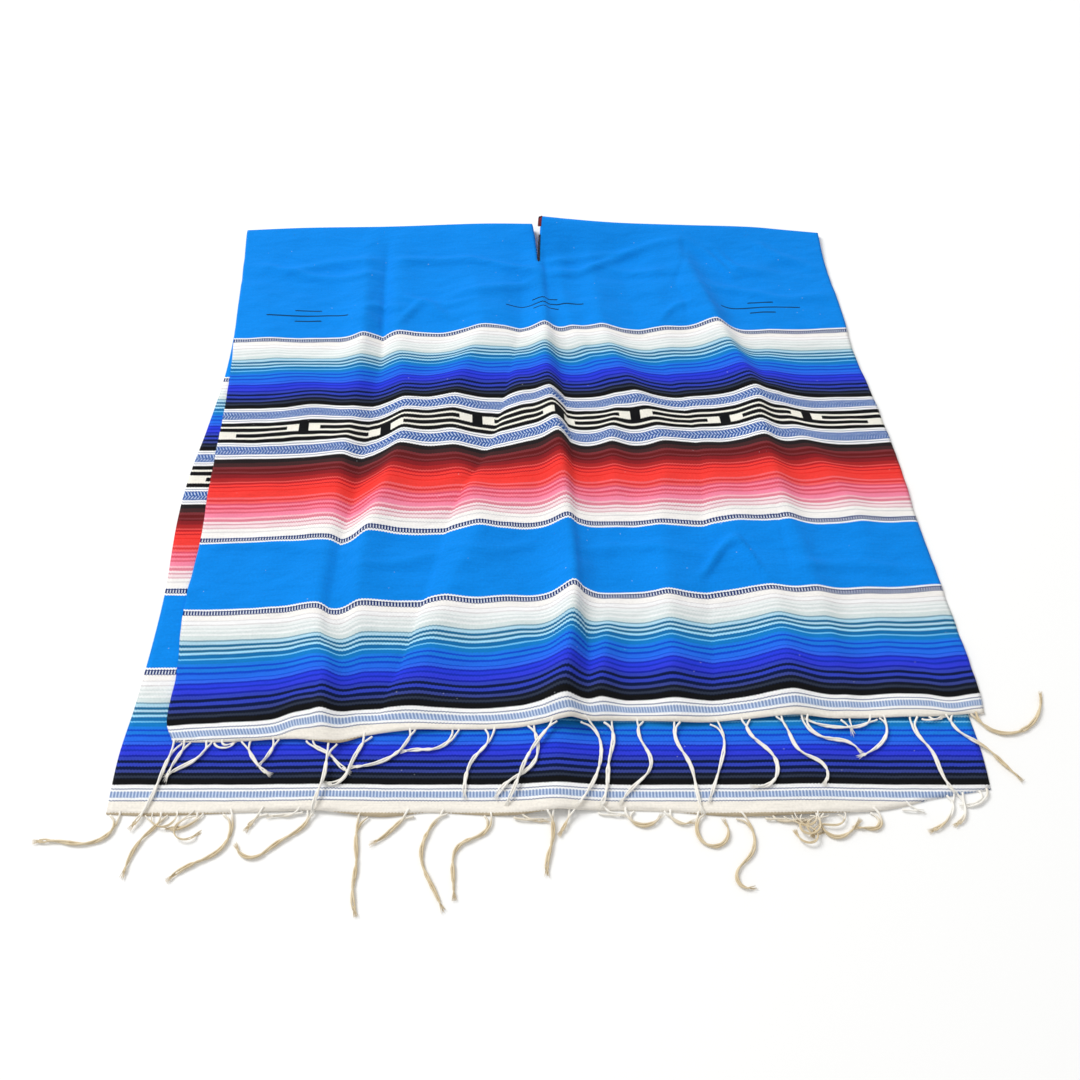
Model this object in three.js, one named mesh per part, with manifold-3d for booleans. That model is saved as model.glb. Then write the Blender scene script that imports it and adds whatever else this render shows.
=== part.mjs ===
// A woven blanket poncho laid flat: one length of cloth doubled over at the shoulders, with a neck
// slit through the fold and a fringe of twisted warp ends along both hems.
// Millimetres, +Z up. +X runs along the shoulder fold, +Y from the hems to the fold, and the
// cloth rests on Z = 0. The origin is the middle of the whole footprint.
import * as THREE from "three";
import Module from "manifold-3d";

const wasm = await Module();
wasm.setup();

// ---- Driving dimensions ----
const wall = 2; // cloth thickness
const layerGap = 0.5; // air between the two layers where they lie on each other
const seamGap = 0.3; // gap between neighbouring pieces
const foldTop = 1062; // Y of the shoulder fold's outermost edge at the neck slit
const frontHemLine = { left: -22, right: 22 }; // Y of the front hem at its two corners
const backHemLine = -122; // Y of the back hem
const foldDepth = 0.8; // depth of the fold's round over its half height
const foldFade = 130; // how far below the fold the cloth comes down to lie on the back
const seamLine = 1016; // Y where the turned-under cloth meets the back layer, under the fold
const dragShare = 0.6; // how far a ridge drags the cloth towards the fold, over its height
const dragFade = 150; // the drag dies away this far from the hem and the fold
const overhang = { from: 5, to: 22 }; // past the back's edge, where a layer sinks to the floor
const ridgeSharpness = 1.6; // 2 gives a round ridge, 1 a sharp one

// Neck slit, as it lies: an open V at the fold, one leg in each layer
const slit = { x: -60, openHalf: 8.5, endHalf: 2.5, frontLength: 107, backLength: 205 };

// Fringe: a strip of warp ends along each hem, which the twisted strands leave
const strand = { side: 3.4, clear: 0.5, step: 14, settle: 14 };
const strip = { depth: 4, inset: 2 };

// Grid of each panel: cells across, cells from hem to fold, and around the fold's round
const frontGrid = { across: 60, along: 30, round: 5 };
const backGrid = { across: 54, along: 12 };

// ---- Tables, with distances measured up the cloth from its own hem ----

// Selvedges of the front layer: X of the left and right edge
const frontEdges = {
  fromHem: [0, 30, 100, 215, 335, 440, 600, 700, 800, 930, 1060],
  left: [-549, -563, -564, -575, -573, -580, -590, -598, -603, -608, -616],
  right: [551, 552, 547, 537, 526, 521, 504, 490, 487, 476, 475],
};

// Selvedges of the back layer
const backEdges = {
  fromHem: [0, 80, 165, 330, 470, 560, 660, 785, 900, 1010, 1164],
  left: [-616, -618, -612, -609, -617, -616, -606, -597, -598, -604, -612],
  right: [532, 534, 527, 520, 512, 508, 503, 486, 480, 470, 470],
};

// How far each hem wanders off its straight line towards the fold, along its width
const frontHemWander = {
  across: [0, 0.09, 0.15, 0.2, 0.235, 0.29, 0.39, 0.47, 0.57, 0.64, 0.76, 0.82, 0.87, 0.93, 1],
  drift: [0, -4, -4, -14, -2, 4, 2, 4, 6, 0, 4, -3, -2, -3, 0],
};
const backHemWander = {
  across: [0, 0.05, 0.23, 0.31, 0.36, 0.45, 0.52, 0.62, 0.71, 0.84, 0.885, 0.93, 1],
  drift: [0, -2, 4, -4, 2, -2, 4, 4, -3, 2, 7, 20, 34],
};

// Ridges of the front layer, left to right. Each runs from hem to fold through the levels; across
// is its place from the left selvedge (0) to the right (1), height its rise above the flat cloth,
// and left and right how wide its two flanks are.
const levels = [0, 45, 215, 335, 500, 610, 775, 1040];
const frontRidges = [
  { across: [0.11, 0.11, 0.1, 0.1, 0.1, 0.13, 0.06, 0.05],
    height: [3, 5, 3, 2, 1, 5, 4, 2], left: 50, right: 60 },
  { across: [0.19, 0.195, 0.205, 0.205, 0.2, 0.2, 0.215, 0.215],
    height: [4, 16, 5, 4, 7, 6, 14, 4], left: 34, right: 24 },
  { across: [0.24, 0.24, 0.235, 0.243, 0.285, 0.28, 0.265, 0.27],
    height: [0, 0, 7, 13, 13, 8, 8, 4], left: 30, right: 34 },
  { across: [0.3, 0.3, 0.345, 0.385, 0.35, 0.355, 0.4, 0.38],
    height: [2, 8, 9, 12, 10, 13, 12, 5], left: 45, right: 40 },
  { across: [0.44, 0.46, 0.42, 0.43, 0.46, 0.455, 0.44, 0.45],
    height: [0, 6, 6, 2, 9, 12, 9, 4], left: 50, right: 40 },
  { across: [0.487, 0.487, 0.512, 0.51, 0.505, 0.5, 0.505, 0.507],
    height: [15, 27, 24, 17, 24, 18, 17, 5], left: 28, right: 22 },
  { across: [0.53, 0.53, 0.56, 0.58, 0.585, 0.6, 0.548, 0.54],
    height: [3, 17, 0, 0, 8, 4, 8, 5], left: 20, right: 25 },
  { across: [0.62, 0.62, 0.635, 0.64, 0.66, 0.63, 0.598, 0.6],
    height: [4, 15, 10, 6, 9, 13, 12, 5], left: 30, right: 38 },
  { across: [0.765, 0.765, 0.77, 0.745, 0.715, 0.72, 0.7, 0.71],
    height: [4, 17, 7, 6, 4, 1, 7, 4], left: 45, right: 38 },
  { across: [0.83, 0.83, 0.83, 0.818, 0.81, 0.815, 0.783, 0.74],
    height: [3, 6, 9, 12, 15, 18, 18, 7], left: 38, right: 26 },
  { across: [0.9, 0.9, 0.9, 0.92, 0.865, 0.85, 0.87, 0.9],
    height: [2, 5, 2, 5, 8, 8, 1, 3], left: 30, right: 34 },
];

// Ridges of the back layer, where it shows below the front hem
const backLevels = [0, 130, 300, 1160];
const backRidges = [
  { across: [0.24, 0.24, 0.24, 0.24], height: [4, 3, 0, 0], left: 60, right: 70 },
  { across: [0.508, 0.508, 0.508, 0.508], height: [11, 8, 0, 0], left: 44, right: 34 },
  { across: [0.8, 0.8, 0.8, 0.8], height: [5, 3, 0, 0], left: 70, right: 60 },
];

// Shoulder fold along its length: Y of its outermost edge, and the height of its roll, which
// stands highest at the slit's right lip
const foldBow = {
  across: [0, 0.1, 0.25, 0.41, 0.5, 0.6, 0.76, 0.88, 0.95, 1],
  y: [1051, 1057, 1059, 1065, 1062.5, 1059, 1058, 1057, 1050, 1045],
};
const foldRoll = {
  across: [0, 0.25, 0.41, 0.498, 0.519, 0.56, 0.65, 0.76, 0.88, 1],
  height: [12, 15, 18, 20, 42, 37, 27, 21, 16, 10],
};

// Strands, in the order of their roots. root is X on the hem, length the strand's own, and
// h0 to h3 the way it heads at its root, at one and two thirds and at its tip: degrees from
// straight off the hem, positive towards +X. lift is how far it rides over what it crosses.
const frontStrands = [
  { root: -541, length: 122, h0: -25, h1: -11, h2: -14, h3: -32, lift: 0 },
  { root: -529, length: 54, h0: -16, h1: -24, h2: -20, h3: -8, lift: 0 },
  { root: -500, length: 66, h0: -6, h1: -38, h2: -60, h3: -52, lift: 0 },
  { root: -488, length: 26, h0: 15, h1: 66, h2: 105, h3: 140, lift: 0 },
  { root: -450, length: 57, h0: 15, h1: 32, h2: 40, h3: 58, lift: 0 },
  { root: -410, length: 36, h0: -8, h1: -20, h2: -28, h3: -38, lift: 0 },
  { root: -365, length: 68, h0: 30, h1: 66, h2: 42, h3: 56, lift: 0 },
  { root: -332, length: 95, h0: -26, h1: 0, h2: -16, h3: -8, lift: 5 },
  { root: -287, length: 90, h0: -28, h1: -24, h2: -21, h3: -95, lift: 0 },
  { root: -228, length: 97, h0: -12, h1: -40, h2: -68, h3: -84, lift: 0 },
  { root: -170, length: 80, h0: -8, h1: -52, h2: -88, h3: -80, lift: 0 },
  { root: -124, length: 101, h0: 14, h1: -42, h2: -16, h3: 4, lift: 0 },
  { root: -69, length: 122, h0: 32, h1: -5, h2: -60, h3: -28, lift: 0 },
  { root: -36, length: 129, h0: -42, h1: -34, h2: -20, h3: -27, lift: 5 },
  { root: 1, length: 134, h0: 68, h1: 5, h2: -22, h3: -38, lift: 0 },
  { root: 35, length: 122, h0: 34, h1: -14, h2: -4, h3: -24, lift: 0 },
  { root: 80, length: 132, h0: -24, h1: 28, h2: -44, h3: -36, lift: 0 },
  { root: 130, length: 130, h0: -28, h1: 28, h2: 6, h3: 12, lift: 0 },
  { root: 178, length: 118, h0: 50, h1: -8, h2: -20, h3: -22, lift: 0 },
  { root: 223, length: 127, h0: -8, h1: 46, h2: -6, h3: -95, lift: 0 },
  { root: 267, length: 116, h0: 34, h1: 16, h2: 62, h3: -34, lift: 0 },
  { root: 303, length: 92, h0: -12, h1: 52, h2: 84, h3: 34, lift: 0 },
  { root: 357, length: 17, h0: 30, h1: 26, h2: 22, h3: 18, lift: 0 },
  { root: 398, length: 98, h0: -40, h1: -82, h2: -96, h3: -120, lift: 0 },
  { root: 408, length: 76, h0: 36, h1: -20, h2: -52, h3: -66, lift: 0 },
  { root: 452, length: 113, h0: -22, h1: 32, h2: 8, h3: 30, lift: 0 },
  { root: 466, length: 26, h0: 50, h1: 72, h2: 98, h3: 120, lift: 0 },
  { root: 501, length: 118, h0: -4, h1: 54, h2: 40, h3: 38, lift: 0 },
  { root: 535, length: 142, h0: 14, h1: 82, h2: 132, h3: 168, lift: 0 },
];
const backStrands = [
  { root: -604, length: 119, h0: 30, h1: -58, h2: -98, h3: -84, lift: 0 },
  { root: -540, length: 86, h0: -18, h1: -42, h2: -18, h3: -6, lift: 0 },
  { root: -494, length: 44, h0: -8, h1: -48, h2: -74, h3: -94, lift: 0 },
  { root: -460, length: 119, h0: 42, h1: -20, h2: -66, h3: -44, lift: 0 },
  { root: -410, length: 28, h0: -55, h1: -48, h2: -38, h3: -30, lift: 0 },
  { root: -364, length: 38, h0: -50, h1: -76, h2: -86, h3: -84, lift: 0 },
  { root: -352, length: 120, h0: 0, h1: -58, h2: -52, h3: -150, lift: 0 },
  { root: -283, length: 124, h0: -30, h1: 8, h2: -4, h3: 18, lift: 0 },
  { root: -222, length: 56, h0: -55, h1: -44, h2: -44, h3: -60, lift: 0 },
  { root: -178, length: 135, h0: -50, h1: -18, h2: 26, h3: 26, lift: 0 },
  { root: -124, length: 126, h0: 30, h1: -70, h2: -2, h3: 6, lift: 0 },
  { root: -86, length: 36, h0: 50, h1: 72, h2: 84, h3: 90, lift: 0 },
  { root: -43, length: 78, h0: 16, h1: 0, h2: -16, h3: 0, lift: 0 },
  { root: -15, length: 31, h0: -20, h1: -24, h2: -28, h3: -30, lift: 0 },
  { root: 22, length: 29, h0: 48, h1: 72, h2: 82, h3: 88, lift: 0 },
  { root: 60, length: 56, h0: -30, h1: 50, h2: 100, h3: 140, lift: 0 },
  { root: 108, length: 36, h0: 15, h1: 42, h2: 72, h3: 110, lift: 0 },
  { root: 152, length: 98, h0: -40, h1: 20, h2: 115, h3: 205, lift: 0 },
  { root: 199, length: 120, h0: 60, h1: -4, h2: -44, h3: 95, lift: 0 },
  { root: 237, length: 50, h0: 50, h1: 80, h2: 92, h3: 94, lift: 0 },
  { root: 305, length: 78, h0: -26, h1: 38, h2: 112, h3: 142, lift: 0 },
  { root: 372, length: 52, h0: 60, h1: 0, h2: -90, h3: -92, lift: 0 },
  { root: 415, length: 18, h0: 55, h1: 65, h2: 72, h3: 80, lift: 0 },
  { root: 478, length: 61, h0: 14, h1: -22, h2: -48, h3: -68, lift: 0 },
  { root: 491, length: 45, h0: 16, h1: 2, h2: -26, h3: -58, lift: 0 },
  { root: 522, length: 40, h0: 20, h1: -40, h2: -70, h3: -88, lift: 0 },
];

// ---- Helpers ----

const mix = THREE.MathUtils.lerp;
const { smoothstep } = THREE.MathUtils;

// A smooth curve through the points (at[i], value[i])
function through(at, value, x) {
  const last = at.length - 1;
  if (x <= at[0]) return value[0];
  if (x >= at[last]) return value[last];
  let i = 0;
  while (x > at[i + 1]) i += 1;
  const slope = (k) => {
    const before = Math.max(k - 1, 0);
    const after = Math.min(k + 1, last);
    return (value[after] - value[before]) / (at[after] - at[before]);
  };
  const span = at[i + 1] - at[i];
  const u = (x - at[i]) / span;
  const [u2, u3] = [u * u, u * u * u];
  return (2 * u3 - 3 * u2 + 1) * value[i] + (u3 - 2 * u2 + u) * span * slope(i)
    + (3 * u2 - 2 * u3) * value[i + 1] + (u3 - u2) * span * slope(i + 1);
}

// Height of a set of ridges at a place across (0 to 1) and up (mm) a layer of a given width
function ridgeHeight(ridges, at, across, fromHem, width) {
  let height = 0;
  for (const ridge of ridges) {
    const off = (across - through(at, ridge.across, fromHem)) * width;
    const flank = off < 0 ? ridge.left : ridge.right;
    const rise = Math.max(through(at, ridge.height, fromHem), 0);
    height += rise * Math.exp(-(Math.abs(off / flank) ** ridgeSharpness));
  }
  return height;
}

// ---- The two layers as they lie ----

const backY = (across) => backHemLine + through(backHemWander.across, backHemWander.drift, across);
const backLeft = (y) => through(backEdges.fromHem, backEdges.left, y - backHemLine);
const backRight = (y) => through(backEdges.fromHem, backEdges.right, y - backHemLine);

function backRise(x, y) {
  const [left, right] = [backLeft(y), backRight(y)];
  const across = (x - left) / (right - left);
  return ridgeHeight(backRidges, backLevels, across, y - backHemLine, right - left);
}

// Height of what a layer or strand above lies on: the back layer, and the floor past its edges
function lieOn(x, y) {
  const [left, right] = [backLeft(y), backRight(y)];
  const across = THREE.MathUtils.clamp((x - left) / (right - left), 0, 1);
  const beside = Math.max(left - x, x - right, 0);
  const below = Math.max(backY(across) - strip.depth - seamGap - strip.inset - y, 0);
  const share = 1 - smoothstep(Math.hypot(beside, below), overhang.from, overhang.to);
  return share * (wall + backRise(x, y));
}

const rollHeight = (across) => through(foldRoll.across, foldRoll.height, across);
const rollHalf = (across) => (rollHeight(across) - wall) / 2;
const foldY = (across) => through(foldBow.across, foldBow.y, across);
const rollY = (across) => foldY(across) - wall / 2 - foldDepth * rollHalf(across);

// Middle of the back layer's wall; up is 0 at the hem and 1 at the seam under the fold
function backPoint(across, up) {
  const y = mix(backY(across), seamLine - seamGap, up);
  const x = mix(backLeft(y), backRight(y), across);
  return new THREE.Vector3(x, y, wall / 2 + backRise(x, y));
}

// Middle of the front layer's wall, from its hem (0) to the fold (1)
function frontPoint(across, up) {
  const wander = through(frontHemWander.across, frontHemWander.drift, across);
  const hem = mix(frontHemLine.left, frontHemLine.right, across) + wander;
  const reach = rollY(across) - hem;
  const fromHem = reach * up;
  const left = through(frontEdges.fromHem, frontEdges.left, fromHem);
  const right = through(frontEdges.fromHem, frontEdges.right, fromHem);
  const ridge = ridgeHeight(frontRidges, levels, across, fromHem, right - left);
  const held = mix(0.2, 1, smoothstep(fromHem, 0, dragFade)) * smoothstep(reach - fromHem, 0, dragFade);
  const x = mix(left, right, across);
  const y = hem + fromHem + dragShare * ridge * held;
  const lying = lieOn(x, y) + layerGap + wall / 2 + ridge;
  const onFold = smoothstep(fromHem, reach - foldFade, reach);
  return new THREE.Vector3(x, y, mix(lying, rollHeight(across) - wall / 2, onFold * onFold));
}

// Middle of the wall around the shoulder fold, from its top (0) to its underside (1), and on
// (2) to the seam
function foldPoint(across, turn) {
  const half = rollHalf(across);
  const angle = Math.PI * Math.min(turn, 1);
  const top = frontPoint(across, 1);
  const round = rollY(across) + foldDepth * half * Math.sin(angle);
  const y = turn > 1 ? seamLine : round;
  return new THREE.Vector3(top.x, y, wall / 2 + half * (1 + Math.cos(angle)));
}

// ---- Solids ----

// A closed wall of cloth about a grid of middle points, grid[row][column], rows running up
function clothWall(grid) {
  const rows = grid.length;
  const columns = grid[0].length;
  const positions = [];
  for (const side of [1, -1]) {
    for (let r = 0; r < rows; r += 1) {
      for (let c = 0; c < columns; c += 1) {
        const alongRow = new THREE.Vector3().subVectors(
          grid[r][Math.min(c + 1, columns - 1)], grid[r][Math.max(c - 1, 0)]);
        const upColumn = new THREE.Vector3().subVectors(
          grid[Math.min(r + 1, rows - 1)][c], grid[Math.max(r - 1, 0)][c]);
        const normal = alongRow.cross(upColumn).normalize();
        const point = grid[r][c].clone().addScaledVector(normal, (side * wall) / 2);
        positions.push(point.x, point.y, point.z);
      }
    }
  }
  const outer = (r, c) => r * columns + c;
  const inner = (r, c) => rows * columns + outer(r, c);
  const faces = [];
  const quad = (a, b, c, d) => faces.push(a, b, c, a, c, d);
  for (let r = 0; r < rows - 1; r += 1) {
    for (let c = 0; c < columns - 1; c += 1) {
      quad(outer(r, c), outer(r, c + 1), outer(r + 1, c + 1), outer(r + 1, c));
      quad(inner(r, c), inner(r + 1, c), inner(r + 1, c + 1), inner(r, c + 1));
    }
  }
  for (let c = 0; c < columns - 1; c += 1) {
    quad(outer(0, c), inner(0, c), inner(0, c + 1), outer(0, c + 1));
    quad(outer(rows - 1, c), outer(rows - 1, c + 1), inner(rows - 1, c + 1), inner(rows - 1, c));
  }
  for (let r = 0; r < rows - 1; r += 1) {
    quad(outer(r, 0), outer(r + 1, 0), inner(r + 1, 0), inner(r, 0));
    quad(outer(r, columns - 1), inner(r, columns - 1), inner(r + 1, columns - 1), outer(r + 1, columns - 1));
  }
  return solidOf(positions, faces);
}

function solidOf(positions, faces) {
  return new wasm.Manifold(new wasm.Mesh({
    numProp: 3,
    vertProperties: new Float32Array(positions),
    triVerts: new Uint32Array(faces),
  }));
}

// A grid of points: rows of pointAt(across, up)
function gridOf(across, ups, pointAt) {
  return ups.map((up) => Array.from({ length: across + 1 }, (_, c) => pointAt(c / across, up)));
}

const evenly = (count) => Array.from({ length: count + 1 }, (_, i) => i / count);

// A tapered prism through every layer, as wide as the slit from its end to past the fold
function slitWedge(length, bottom, top) {
  const far = foldTop + 2 * wall;
  const near = foldTop - length;
  const openEnd = slit.openHalf + ((far - foldTop) * (slit.openHalf - slit.endHalf)) / length;
  const outline = [[-slit.endHalf, near], [slit.endHalf, near], [openEnd, far], [-openEnd, far]];
  const positions = [];
  for (const z of [bottom, top]) {
    for (const [x, y] of outline) positions.push(slit.x + x, y, z);
  }
  const faces = [0, 2, 1, 0, 3, 2, 4, 5, 6, 4, 6, 7];
  for (let i = 0; i < 4; i += 1) {
    const j = (i + 1) % 4;
    faces.push(i, j, 4 + j, i, 4 + j, 4 + i);
  }
  return solidOf(positions, faces);
}

// Points of a strand's middle line, from the middle of its strip, over what bedAt gives
function strandWay(row, start, bedAt) {
  const count = Math.max(3, Math.round(row.length / strand.step));
  const step = row.length / count;
  const thirds = [0, 1 / 3, 2 / 3, 1];
  const half = strand.side / 2;
  const bedAround = (x, y) => half + strand.clear
    + Math.max(bedAt(x - strand.side, y), bedAt(x, y), bedAt(x + strand.side, y));
  const root = Math.max(start.z, bedAround(start.x, start.y));
  const points = [new THREE.Vector3(start.x, start.y, root)];
  let [x, y] = [start.x, start.y];
  for (let i = 1; i <= count; i += 1) {
    const heading = through(thirds, [row.h0, row.h1, row.h2, row.h3], (i - 0.5) / count);
    const angle = THREE.MathUtils.degToRad(heading);
    x += step * Math.sin(angle);
    y -= step * Math.cos(angle);
    const bed = bedAround(x, y);
    const fall = Math.exp(-(i * step) / strand.settle);
    const over = row.lift * Math.sqrt(Math.max(Math.sin((Math.PI * i) / count), 0));
    points.push(new THREE.Vector3(x, y, mix(bed + over, Math.max(root, bed), fall)));
  }
  return points;
}

// A four-sided strand about its middle line
function strandSolid(points) {
  const up = new THREE.Vector3(0, 0, 1);
  const half = strand.side / 2;
  const positions = [];
  points.forEach((point, i) => {
    const tangent = new THREE.Vector3().subVectors(
      points[Math.min(i + 1, points.length - 1)], points[Math.max(i - 1, 0)]).normalize();
    const aside = new THREE.Vector3().crossVectors(tangent, up).normalize();
    const lift = new THREE.Vector3().crossVectors(aside, tangent);
    for (const [a, b] of [[-1, -1], [1, -1], [1, 1], [-1, 1]]) {
      const corner = point.clone().addScaledVector(aside, a * half).addScaledVector(lift, b * half);
      positions.push(corner.x, corner.y, corner.z);
    }
  });
  const last = 4 * (points.length - 1);
  const faces = [0, 1, 2, 0, 2, 3, last, last + 2, last + 1, last, last + 3, last + 2];
  for (let i = 0; i < points.length - 1; i += 1) {
    for (let k = 0; k < 4; k += 1) {
      const [a, b] = [4 * i + k, 4 * i + ((k + 1) % 4)];
      faces.push(a, a + 4, b + 4, a, b + 4, b);
    }
  }
  return solidOf(positions, faces);
}

// The warp ends along one hem: a narrow strip just off the hem's edge, with its strands
function fringe(across, hemPoint, rows, bedAt) {
  const stripPoint = (at, out) => {
    const edge = hemPoint(at);
    edge.y -= seamGap + strip.depth * (1 - out);
    return edge;
  };
  const band = clothWall(gridOf(across, [0, 1], stripPoint));
  const strands = rows.map((row) => {
    let [low, high] = [0, 1];
    for (let k = 0; k < 24; k += 1) {
      const middle = (low + high) / 2;
      if (hemPoint(middle).x < row.root) low = middle;
      else high = middle;
    }
    return strandSolid(strandWay(row, stripPoint(low, 0.5), bedAt));
  });
  return strands.reduce((joined, one) => joined.add(one), band);
}

// ---- The poncho ----

const frontRows = [
  ...gridOf(frontGrid.across, evenly(frontGrid.along), frontPoint),
  ...gridOf(frontGrid.across, [...evenly(frontGrid.round).slice(1), 2], foldPoint),
];
const frontSolid = clothWall(frontRows)
  .subtract(slitWedge(slit.frontLength, wall + layerGap / 2, 2 * foldTop))
  .subtract(slitWedge(slit.backLength, -wall, wall + layerGap / 2));
const backSolid = clothWall(gridOf(backGrid.across, evenly(backGrid.along), backPoint))
  .subtract(slitWedge(slit.backLength, -wall, 2 * wall));
const frontFringe = fringe(frontGrid.across, (at) => frontPoint(at, 0), frontStrands, lieOn);
const backFringe = fringe(backGrid.across, (at) => backPoint(at, 0), backStrands, () => 0);

const azureCloth = new THREE.MeshStandardMaterial({ color: 0x188cee, roughness: 0.9, metalness: 0 });
const stripedCloth = new THREE.MeshStandardMaterial({ color: 0x2a37ab, roughness: 0.9, metalness: 0 });
const creamCotton = new THREE.MeshStandardMaterial({ color: 0xf3ecdd, roughness: 0.95, metalness: 0 });

const poncho = new THREE.Group();

function addPiece(name, solid, material) {
  const { numProp, vertProperties, triVerts } = solid.getMesh();
  const positions = new Float32Array((vertProperties.length / numProp) * 3);
  for (let i = 0; i < positions.length / 3; i += 1) {
    positions.set(vertProperties.subarray(i * numProp, i * numProp + 3), 3 * i);
  }
  const geometry = new THREE.BufferGeometry();
  geometry.setAttribute("position", new THREE.BufferAttribute(positions, 3));
  geometry.setIndex(new THREE.BufferAttribute(new Uint32Array(triVerts), 1));
  geometry.computeVertexNormals();
  const mesh = new THREE.Mesh(geometry, material);
  mesh.name = name;
  poncho.add(mesh);
}

addPiece("back_panel", backSolid, stripedCloth);
addPiece("front_panel", frontSolid, azureCloth);
addPiece("front_fringe", frontFringe, creamCotton);
addPiece("back_fringe", backFringe, creamCotton);

// The origin stands at the middle of the footprint
const footprint = new THREE.Box3().setFromObject(poncho);
const middle = footprint.getCenter(new THREE.Vector3());
for (const piece of poncho.children) piece.geometry.translate(-middle.x, -middle.y, 0);

export default poncho;
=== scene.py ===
import bmesh
import bpy
import math
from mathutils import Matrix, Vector, noise


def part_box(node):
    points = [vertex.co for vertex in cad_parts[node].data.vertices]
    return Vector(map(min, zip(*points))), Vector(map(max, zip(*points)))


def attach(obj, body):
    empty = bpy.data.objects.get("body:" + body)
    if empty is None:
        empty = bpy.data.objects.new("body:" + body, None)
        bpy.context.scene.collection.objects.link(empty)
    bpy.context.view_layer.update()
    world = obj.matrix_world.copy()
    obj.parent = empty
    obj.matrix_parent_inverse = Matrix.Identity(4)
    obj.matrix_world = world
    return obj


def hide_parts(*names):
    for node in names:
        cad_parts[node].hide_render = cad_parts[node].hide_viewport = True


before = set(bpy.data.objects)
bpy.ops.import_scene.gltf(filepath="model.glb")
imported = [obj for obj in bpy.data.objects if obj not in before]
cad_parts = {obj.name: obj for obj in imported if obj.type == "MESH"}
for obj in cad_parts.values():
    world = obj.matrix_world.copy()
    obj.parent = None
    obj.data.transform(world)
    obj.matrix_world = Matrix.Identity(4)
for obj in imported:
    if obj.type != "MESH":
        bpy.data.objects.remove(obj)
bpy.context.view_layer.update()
print("frame loaded")

# Shapes below are worked out in millimetres on the plan of the laid cloth: x along the shoulder
# fold, y from the hems to the fold, z up from the floor. toRow turns them to the part's metres.

clothPlan = {
    "wall": 2.0,  # cloth thickness
    "width": 1140.0,  # cloth width, flat
    "layerGap": 0.5,
    "foldTop": 1062.0,  # y of the fold at the neck slit
    "seamLine": 1016.0,  # y where the layers part, under the turn
    "seamGap": 0.3,
    "frontHemLeft": -22.0,
    "frontHemRight": 22.0,
    "backHemLine": -122.0,
    "backWeft": 0.99,  # back layer: cloth length over the length it lies in, from the hem
    "frontWeft": (1.008, 1.02),  # front layer, at the left and the right selvedge
    "foldDepth": 0.8,  # how far the turn bulges, beside half its height
    "foldFade": 130.0,  # over which the front layer climbs to the turn
    "dragShare": 0.6,  # how far a ridge draws the cloth up with it, beside its height
    "dragFade": 150.0,
    "hemHeld": 0.2,  # share of that drag at the hem
    "overhangFrom": 5.0,  # past the back layer's edge the front one sinks to the floor
    "overhangTo": 22.0,
    "ridgeSharpness": 1.6,  # 2 is a round ridge, 1 a sharp one
    "valleySharpness": 1.0,
    "stripDepth": 4.0,  # the fringe's backing strip
    "stripInset": 2.0,
}

frontEdges = {
    "fromHem": (0, 30, 100, 215, 335, 440, 600, 700, 800, 930, 1060),
    "left": (-549, -563, -564, -575, -573, -579, -583, -588, -597, -606, -616),
    "right": (551, 552, 547, 537, 526, 521, 504, 490, 487, 476, 475),
}
backEdges = {
    "fromHem": (0, 80, 165, 330, 470, 560, 660, 785, 900, 1010, 1164),
    "left": (-616, -618, -612, -609, -617, -616, -606, -597, -598, -604, -612),
    "right": (532, 534, 527, 520, 512, 508, 503, 486, 480, 470, 470),
}
frontHemWander = {
    "across": (0, 0.09, 0.15, 0.2, 0.235, 0.29, 0.39, 0.47, 0.57, 0.64, 0.76, 0.82, 0.87, 0.93, 1),
    "drift": (0, -4, -4, -14, -2, 4, 2, 4, 6, 0, 4, -3, -2, -3, 0),
}
backHemWander = {
    "across": (0, 0.05, 0.23, 0.31, 0.36, 0.45, 0.52, 0.62, 0.71, 0.84, 0.885, 0.93, 1),
    "drift": (0, -2, 4, -4, 2, -2, 4, 4, -3, 2, 7, 20, 34),
}


def namedRows(columns, *rows):  # one dictionary a row
    return [dict(zip(columns, row)) for row in rows]


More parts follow.
